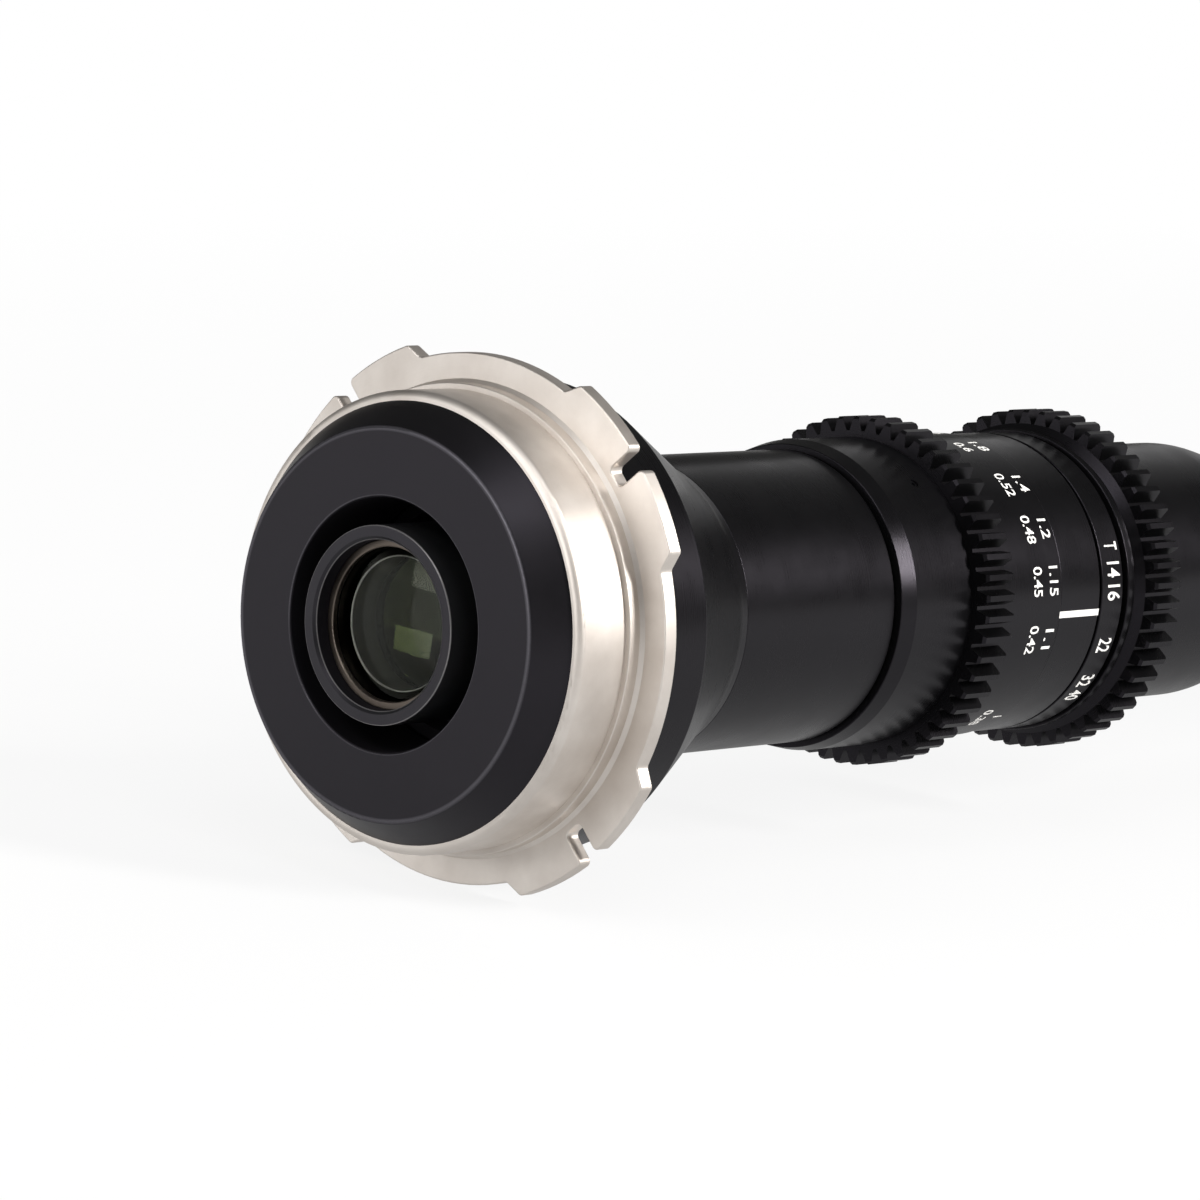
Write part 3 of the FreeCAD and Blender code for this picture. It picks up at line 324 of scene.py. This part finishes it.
def turned_metal(
    name,
    dark,
    light,
    roughness,
    metallic,
    ring_depth,
    grain_depth,
    stain=0.03,
    edges=(),
    edge_colour=None,
    specular_tint=white,
    specular_level=0.5,
    anisotropic=0.5,
    bore_radius=0.0,
):
    """Lathe-turned metal: fine rings about X, a faint grain, and painted highlights on edges.

    Each of the edges gets the glint colour as metal: a painted highlight, which also reflects.
    Stain is how far slow patches change the roughness. Inside the bore's radius, in
    millimetres, the metal is dull, and darker as painted shade.
    """
    graph = new_material(name)
    vector, axial, radius = graph.place()
    rings = graph.line_noise(graph.math("ADD", axial, radius), ring_scale)
    grain = graph.noise(vector, grain_scale)
    patches = graph.noise(vector, stain_scale, detail=4.0)
    colour = graph.blend(graph.spread(patches, 0.0, 1.0), dark, light)
    ring_change = graph.spread(rings, -ring_roughness, ring_roughness)
    stained = graph.spread(patches, roughness - stain, roughness + stain)
    rough = graph.math("ADD", ring_change, stained)
    # Painted shade: darker colour inside the bore; the roughness makes it dull
    if bore_radius:
        inside = graph.math("LESS_THAN", radius, bore_radius)
        colour = graph.blend(inside, colour, bore_shade_colour)
        rough = graph.math("MAXIMUM", rough, graph.math("MULTIPLY", inside, bore_roughness))
    metal_share = metallic
    # Painted highlights: bright metal colour and less roughness on each edge
    for edge_x, edge_radius, width in edges:
        glint = graph.near_edge(axial, radius, edge_x, edge_radius, width)
        glint_share = graph.math("MULTIPLY", glint, graph.spread(grain, 0.7, 1.0), clamp=True)
        colour = graph.blend(glint_share, colour, edge_colour)
        rough = graph.math("MULTIPLY_ADD", glint_share, -glint_polish, rough)
        metal_share = graph.math("MAXIMUM", glint_share, metal_share)
    grain_bump = graph.bump(grain, grain_depth, below=graph.bump(rings, ring_depth))
    tangent = graph.add("ShaderNodeTangent", direction_type="RADIAL", axis="X").outputs[0]
    graph.set(Base_Color=colour, Roughness=rough, Metallic=metal_share, Normal=grain_bump)
    graph.set(Specular_Tint=specular_tint, Specular_IOR_Level=specular_level)
    graph.set(Anisotropic=anisotropic, Anisotropic_Rotation=ring_direction, Tangent=tangent)
    return graph.owner


def edges_on(node, edges):
    """Painted highlights on edges of a node, placed along X in millimetres."""
    face_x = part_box(node)[0].x / mm
    return [(face_x + ahead, radius, width) for ahead, radius, width in edges]


def make_nickel():
    """Satin nickel plate, faintly stained."""
    return turned_metal(
        "nickel_plate",
        rgb(0.725, 0.665, 0.61),
        rgb(0.85, 0.795, 0.74),
        roughness=0.48,
        metallic=1.0,
        ring_depth=0.0025 * mm,
        grain_depth=0.001 * mm,
        anisotropic=0.4,
        stain=0.015,
    )


def make_black(name, shade, roughness=0.3, specular_level=0.26, **options):
    """Black anodised aluminium. The shade is about the mean of its diffuse colour."""
    return turned_metal(
        name,
        rgb(shade * 0.85, shade * 0.87, shade * 0.93),
        rgb(shade * 1.1, shade * 1.12, shade * 1.18),
        roughness=roughness,
        metallic=0.0,
        ring_depth=0.0008 * mm,
        grain_depth=0.0015 * mm,
        specular_tint=rgb(0.92, 0.845, 1.0),
        specular_level=specular_level,
        **options,
    )


def make_rear_cap():
    """Black anodised, with painted highlights of bright metal where its face meets the bevel
    and round the bore.
    """
    return make_black(
        "black_cap",
        0.0025,
        roughness=0.38,
        specular_level=0.37,
        edges=edges_on("rear_cap", cap_glints),
        edge_colour=rgb(0.13, 0.125, 0.14),
        anisotropic=0.0,
        bore_radius=cap_bore_radius,
    )


def make_cell():
    """Dark lens cell, with painted highlights of bright metal on two turned edges."""
    return make_black(
        "bright_ring",
        0.012,
        roughness=0.36,
        specular_level=0.36,
        edges=edges_on("rear_cell", cell_glints),
        edge_colour=rgb(0.36, 0.35, 0.35),
        anisotropic=0.0,
        bore_radius=cell_bore_radius,
    )


def make_spacer():
    """Dark olive spacer between the two rear elements, lifted above the other blacks as painted
    light for light that the glass keeps from it. Its inner edge has a painted highlight of
    bright metal.
    """
    return turned_metal(
        "spacer_black",
        # Colours lifted as painted light
        rgb(0.022, 0.022, 0.012),
        rgb(0.034, 0.034, 0.018),
        roughness=0.5,
        metallic=0.0,
        ring_depth=0.01 * mm,
        grain_depth=0.001 * mm,
        edges=edges_on("rear_spacer", spacer_glints),
        edge_colour=rgb(0.85, 0.83, 0.78),
        specular_level=0.2,
    )


def make_retaining_ring():
    """Warm, half-bright turned ring round the rear glass."""
    return turned_metal(
        "retaining_ring",
        rgb(0.12, 0.10, 0.085),
        rgb(0.19, 0.16, 0.135),
        roughness=0.35,
        metallic=1.0,
        ring_depth=0.002 * mm,
        grain_depth=0.001 * mm,
    )


def make_glass(name, tint, reflection, noise_scale=0.6, haze=0.003):
    """Polished glass with an antireflection film that tints what it reflects."""
    graph = new_material(name)
    vector = graph.place()[0]
    graph.set(Base_Color=tint, IOR=1.52, Transmission_Weight=1.0, Specular_Tint=reflection)
    graph.set(Roughness=graph.spread(graph.noise(vector, noise_scale), 0.0, haze))
    return graph.owner


def make_plain(
    name, colour, roughness, metallic=0.0, grain=4.0, depth=0.004 * mm, variation=0.12,
):
    """Moulded, rolled or painted surface with slight mottling and grain."""
    graph = new_material(name)
    shade = graph.noise(graph.place()[0], grain)
    darker = rgb(*(channel * (1 - variation) for channel in colour[:3]))
    rough = graph.spread(shade, roughness - 0.05, roughness + 0.05)
    graph.set(Base_Color=graph.blend(graph.spread(shade, 0.0, 1.0), darker, colour))
    graph.set(Roughness=rough, Metallic=metallic, Normal=graph.bump(shade, depth))
    return graph.owner


# The record's material slots
pale_glass = rgb(0.95, 0.97, 0.94)
green_glass = rgb(0.93, 0.97, 0.93)
finishes = {
    "nickel_plate": make_nickel(),
    "black_anodised": make_black("black_anodised", 0.0022),
    "black_anodised_ring": make_black("black_anodised_ring", 0.0022),
    "black_cap": make_rear_cap(),
    "baffle_black": make_black("baffle_black", 0.0012, roughness=0.85),
    "bright_ring": make_cell(),
    "coated_glass": make_glass("coated_glass", pale_glass, rgb(0.08, 0.09, 0.07)),
    "inner_glass": make_glass("inner_glass", green_glass, rgb(0.20, 0.175, 0.195)),
    "brass_shim": make_plain("brass_shim", rgb(0.62, 0.47, 0.22), 0.3, metallic=1.0),
    "steel_screw": make_plain("steel_screw", rgb(0.05, 0.05, 0.055), 0.35, metallic=1.0),
    "steel_pin": make_plain("steel_pin", rgb(0.6, 0.6, 0.6), 0.25, metallic=1.0),
    "brass_follower": make_plain("brass_follower", rgb(0.65, 0.5, 0.25), 0.3, metallic=1.0),
    "plastic_washer": make_plain("plastic_washer", rgb(0.85, 0.84, 0.8), 0.5),
    "blade_steel": make_plain("blade_steel", rgb(0.03, 0.03, 0.032), 0.45, metallic=1.0),
    "port_shell": make_plain("port_shell", rgb(0.6, 0.6, 0.6), 0.3, metallic=1.0),
    "board_green": make_plain("board_green", rgb(0.03, 0.18, 0.09), 0.35),
    "board_white": make_plain("board_white", rgb(0.85, 0.85, 0.83), 0.4),
    "flat_cable": make_plain("flat_cable", rgb(0.55, 0.28, 0.06), 0.35),
    "seal_rubber": make_plain("seal_rubber", rgb(0.03, 0.03, 0.03), 0.6),
    "light_chip": make_plain("light_chip", rgb(0.9, 0.8, 0.3), 0.35),
    "clear_window": make_glass("clear_window", rgb(0.97, 0.98, 0.98), white),
}

# Nodes whose finish differs from the rest of their slot
node_finishes = {
    "rear_spacer": make_spacer(),
    "rear_retaining_ring": make_retaining_ring(),
}

# Films on the outermost and the innermost face of the rear glass
outer_coating = make_glass("outer_coating", pale_glass, rgb(0.115, 0.125, 0.08))
olive_coating = make_glass("olive_coating", green_glass, rgb(0.22, 0.25, 0.09))


def dress_frame():
    """Gives every CAD node the material of its slot."""
    for entry in frame["record"]["subparts"]:
        node = frame["nodes"][entry["node"]]
        node.data.materials.clear()
        finish = node_finishes.get(entry["node"], finishes[entry["material_slot"]])
        node.data.materials.append(finish)


def make_paint():
    """White paint that fills the engraved figures."""
    return make_plain(
        "scale_paint",
        rgb(0.86, 0.85, 0.82),
        0.5,
        grain=6.0,
        depth=0.003 * mm,
        variation=0.05,
    )


def make_piece(name, verts, faces, material, body):
    mesh = bpy.data.meshes.new(name)
    mesh.from_pydata(verts, [], faces)
    mesh.materials.append(material)
    mesh.validate()
    piece = bpy.data.objects.new(name, mesh)
    bpy.context.scene.collection.objects.link(piece)
    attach(piece, body)
    return piece


def about_axis(place_x, radius, angle):
    """Point at a radius from X, at an angle in radians from +Z towards -Y."""
    return Vector((place_x, -radius * math.sin(angle), radius * math.cos(angle)))


def on_drum(point, radius):
    """Moves a flat point (along X, round the drum, outwards) onto a drum about X."""
    return about_axis(point[0], radius + point[2], point[1] / radius)


def dished_face(rim_x, clear_radius, bulge):
    """Profile points of a spherical face, from its middle out to its clear radius."""
    curve_radius = (clear_radius ** 2 + bulge ** 2) / (2 * bulge)
    points = []
    for step in range(glass_rings + 1):
        reach = clear_radius * step / glass_rings
        to_centre = math.copysign(math.sqrt(curve_radius ** 2 - reach ** 2), curve_radius)
        points.append((rim_x + bulge - (curve_radius - to_centre), reach))
    return points


def make_element(node, body, rear_face, front_face, finishes_by_side):
    """Finely turned lens element in place of a CAD one, with a finish for each side.

    A face is a clear radius and a bulge towards the tip.
    """
    low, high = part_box(node)
    rear_rim = low.x - min(rear_face[1], 0.0)
    front_rim = high.x - max(front_face[1], 0.0)
    rear = dished_face(rear_rim, *rear_face)
    front = dished_face(front_rim, *front_face)
    profile = rear[1:] + [(rear_rim, high.z), (front_rim, high.z)] + front[:0:-1]
    verts = [Vector((rear[0][0], 0.0, 0.0))]
    for turn in range(glass_turns):
        angle = 2 * math.pi * turn / glass_turns
        verts += [about_axis(place_x, radius, angle) for place_x, radius in profile]
    verts.append(Vector((front[0][0], 0.0, 0.0)))
    count = len(profile)
    faces = []
    sides = []
    for turn in range(glass_turns):
        here = 1 + turn * count
        there = 1 + (turn + 1) % glass_turns * count
        faces.append([0, there, here])
        sides.append(0)
        for index in range(count - 1):
            near, far = here + index, there + index
            faces.append([near, far, far + 1, near + 1])
            sides.append(0 if index < count // 2 else 1)
        faces.append([here + count - 1, there + count - 1, len(verts) - 1])
        sides.append(1)
    piece = make_piece(
        node + "_polished", verts, faces, finishes_by_side[0], body,
    )
    piece.data.materials.append(finishes_by_side[1])
    for polygon, side in zip(piece.data.polygons, sides):
        polygon.material_index = side
        polygon.use_smooth = True
    piece.data.set_sharp_from_angle(angle=math.radians(glass_sharp_angle))
    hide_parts(node)


def make_rear_glass():
    """The two rear elements, whose CAD triangles would show in their reflections."""
    make_element(
        "rear_lens",
        "lens_body",
        (rear_clear_radius, -lens_bulge),
        (inner_clear_radius, -lens_bulge / 2),
        (outer_coating, finishes["coated_glass"]),
    )
    make_element(
        "rear_inner_lens",
        "lens_body",
        (inner_clear_radius, -lens_bulge),
        (inner_clear_radius, lens_bulge),
        (finishes["inner_glass"], olive_coating),
    )


def numeral_mesh(text, height, advance):
    """Flat raised text of a set height, with its length set by the advance of a figure."""
    curve = bpy.data.curves.new("numeral", "FONT")
    curve.body = text
    curve.align_x = "CENTER"
    curve.align_y = "CENTER"
    curve.size = 1.0
    curve.offset = figure_stroke
    curve.extrude = 0.5
    curve.resolution_u = figure_curve_steps
    holder = bpy.data.objects.new("numeral", curve)
    bpy.context.scene.collection.objects.link(holder)
    bpy.context.view_layer.update()
    drawn = holder.evaluated_get(bpy.context.evaluated_depsgraph_get())
    mesh = bpy.data.meshes.new_from_object(drawn)
    bpy.data.objects.remove(holder)
    across = [vertex.co.x for vertex in mesh.vertices]
    upright = [vertex.co.y for vertex in mesh.vertices]
    points = text.count(".")
    figures = len(text) - points + point_width * points
    wide = advance / single_figure_width
    if len(text) > 1:
        wide = figures * advance * figure_fill / (max(across) - min(across))
    tall = height / (max(upright) - min(upright))
    middle = Vector(((max(across) + min(across)) / 2, (max(upright) + min(upright)) / 2, 0))
    for vertex in mesh.vertices:
        vertex.co = vertex.co - middle
        vertex.co.x *= wide
        vertex.co.y *= tall
    return mesh


def put_numeral(verts, faces, text, place_x, radius, angle, height, advance):
    """Adds one numeral to a dial: it reads round the ring, with its top towards the tip."""
    mesh = numeral_mesh(text, height, advance)
    first = len(verts)
    turn = math.radians(angle) * radius
    for vertex in mesh.vertices:
        outward = paint_proud if vertex.co.z > 0 else paint_proud - paint_depth
        verts.append(on_drum((place_x + vertex.co.y, turn + vertex.co.x, outward), radius))
    for polygon in mesh.polygons:
        faces.append([first + index for index in polygon.vertices])
    bpy.data.meshes.remove(mesh)


def make_focus_scale(paint):
    verts = []
    faces = []
    figure = (focus_digit_height, focus_digit_advance)
    for angle, metric, feet in focus_marks:
        metric_x = focus_front - focus_metric_setback
        feet_x = focus_front - focus_feet_setback
        put_numeral(verts, faces, metric, metric_x, focus_radius, angle, *figure)
        put_numeral(verts, faces, feet, feet_x, focus_radius, angle, *figure)
    make_piece("focus_scale", verts, faces, paint, "focus_turn_ring")


def make_aperture_scale(paint):
    verts = []
    faces = []
    figure = (aperture_digit_height, aperture_digit_advance)
    for angle, text in aperture_marks:
        place_x = aperture_rear + aperture_row
        put_numeral(verts, faces, text, place_x, index_radius, angle, *figure)
    make_piece("aperture_scale", verts, faces, paint, "aperture_turn_ring")


def make_index_line(paint):
    """Line across the index ring, curved with it, with its ends square."""
    verts = []
    for side in (paint_proud, paint_proud - paint_depth):
        for place_x in (index_low.x, index_high.x):
            for step in range(index_steps + 1):
                off_middle = index_width * (step / index_steps - 0.5)
                turn = math.radians(index_angle) * index_radius + off_middle
                verts.append(on_drum((place_x, turn, side), index_radius))
    row = index_steps + 1
    faces = []
    for step in range(index_steps):
        faces.append([step, step + 1, row + step + 1, row + step])
        faces.append([2 * row + step, 3 * row + step, 3 * row + step + 1, 2 * row + step + 1])
        for end in (step, row + step):
            faces.append([end, end + 1, 2 * row + end + 1, 2 * row + end])
    for side in (0, index_steps):
        faces.append([side, row + side, 3 * row + side, 2 * row + side])
    make_piece("index_line", verts, faces, paint, "lens_body")


def look_at(place, aim, roll=0.0):
    """World matrix of a camera or lamp at a place, pointed at an aim."""
    turn = (Vector(aim) - Vector(place)).to_track_quat("-Z", "Y").to_matrix().to_4x4()
    return Matrix.Translation(place) @ turn @ Matrix.Rotation(math.radians(roll), 4, "Z")


def make_camera():
    azimuth = math.radians(camera_azimuth)
    elevation = math.radians(camera_elevation)
    level = math.cos(elevation)
    back = Vector((-level * math.cos(azimuth), -level * math.sin(azimuth), math.sin(elevation)))
    aim = Vector(camera_aim) * mm
    data = bpy.data.cameras.new("photo_camera")
    data.lens = camera_focal_length
    data.sensor_width = camera_sensor_width
    data.clip_start = camera_clip_near
    data.clip_end = camera_clip_far
    camera = bpy.data.objects.new("photo_camera", data)
    bpy.context.scene.collection.objects.link(camera)
    camera.matrix_world = look_at(aim + back * camera_distance * mm, aim, camera_roll)
    bpy.context.scene.camera = camera


def make_softbox(name, direction, distance, width, height, power, colour):
    """Rectangular soft lamp in a direction from the lens, turned to face it."""
    data = bpy.data.lights.new(name, "AREA")
    data.shape = "RECTANGLE"
    data.size = width
    data.size_y = height
    data.energy = power
    data.color = colour
    lamp = bpy.data.objects.new(name, data)
    bpy.context.scene.collection.objects.link(lamp)
    aim = Vector(lamp_aim)
    lamp.matrix_world = look_at(aim + Vector(direction).normalized() * distance, aim)


def make_world():
    """White studio: plain white to the camera, and dimmer overhead for what reflects it."""
    world = bpy.data.worlds.new("studio")
    bpy.context.scene.world = world
    graph = Graph(world)
    graph.tree.nodes.remove(graph.tree.nodes["Background"])
    height = graph.parts(graph.coordinates("Generated"))["Z"]
    glow = graph.spread(height, horizon_glow, overhead_glow, 0.0, horizon_height, "SMOOTHSTEP")
    fill = graph.background(white, studio_fill)
    reflected = graph.background(horizon_colour, glow)
    plain = graph.background(white, 1.0)
    from_camera, mirrored = graph.rays()
    shown = graph.mix_shaders(mirrored, fill, reflected)
    shown = graph.mix_shaders(from_camera, shown, plain)
    graph.link(shown, graph.tree.nodes["World Output"].inputs["Surface"])


def make_floor():
    """Pale floor just under the lens. It reads as white, with a soft shadow. What gloss and
    glass see of it glows dimmer near the lens: a painted shadow.
    """
    half = floor_half_width
    level = cad_box[0][2] - floor_gap
    sides = [(-half, -half), (half, -half), (half, half), (-half, half)]
    mesh = bpy.data.meshes.new("floor")
    mesh.from_pydata([(x, y, level) for x, y in sides], [], [[0, 1, 2, 3]])
    graph = new_material("floor")
    graph.set(Base_Color=rgb(floor_shade, floor_shade, floor_shade))
    graph.set(Roughness=floor_roughness, Specular_IOR_Level=0.1)
    away = graph.math("ABSOLUTE", graph.parts(graph.coordinates("Object"))["Y"])
    from_camera, mirrored = graph.rays()
    seen = graph.math("MULTIPLY", from_camera, graph.spread(away, *seen_share, *seen_distance))
    # Painted shadow: the glow that reflections see is dimmer near the lens
    reflected = graph.spread(away, *shadowed_mirror_glow, *shadowed_mirror_distance)
    share = graph.math("MULTIPLY_ADD", mirrored, mirrored_share, seen)
    glow = graph.add("ShaderNodeEmission")
    strength = graph.math("MULTIPLY_ADD", mirrored, reflected, from_camera)
    graph.link(strength, glow.inputs["Strength"])
    mixed = graph.mix_shaders(share, graph.surface.outputs[0], glow.outputs[0])
    graph.link(mixed, graph.tree.nodes["Material Output"].inputs["Surface"])
    mesh.materials.append(graph.owner)
    floor = bpy.data.objects.new("floor", mesh)
    bpy.context.scene.collection.objects.link(floor)


make_camera()
make_world()
make_floor()
for lamp in lamps:
    make_softbox(*lamp)
dress_frame()
make_rear_glass()
scale_paint = make_paint()
make_focus_scale(scale_paint)
make_aperture_scale(scale_paint)
make_index_line(scale_paint)

bpy.context.scene.view_settings.view_transform = "Standard"
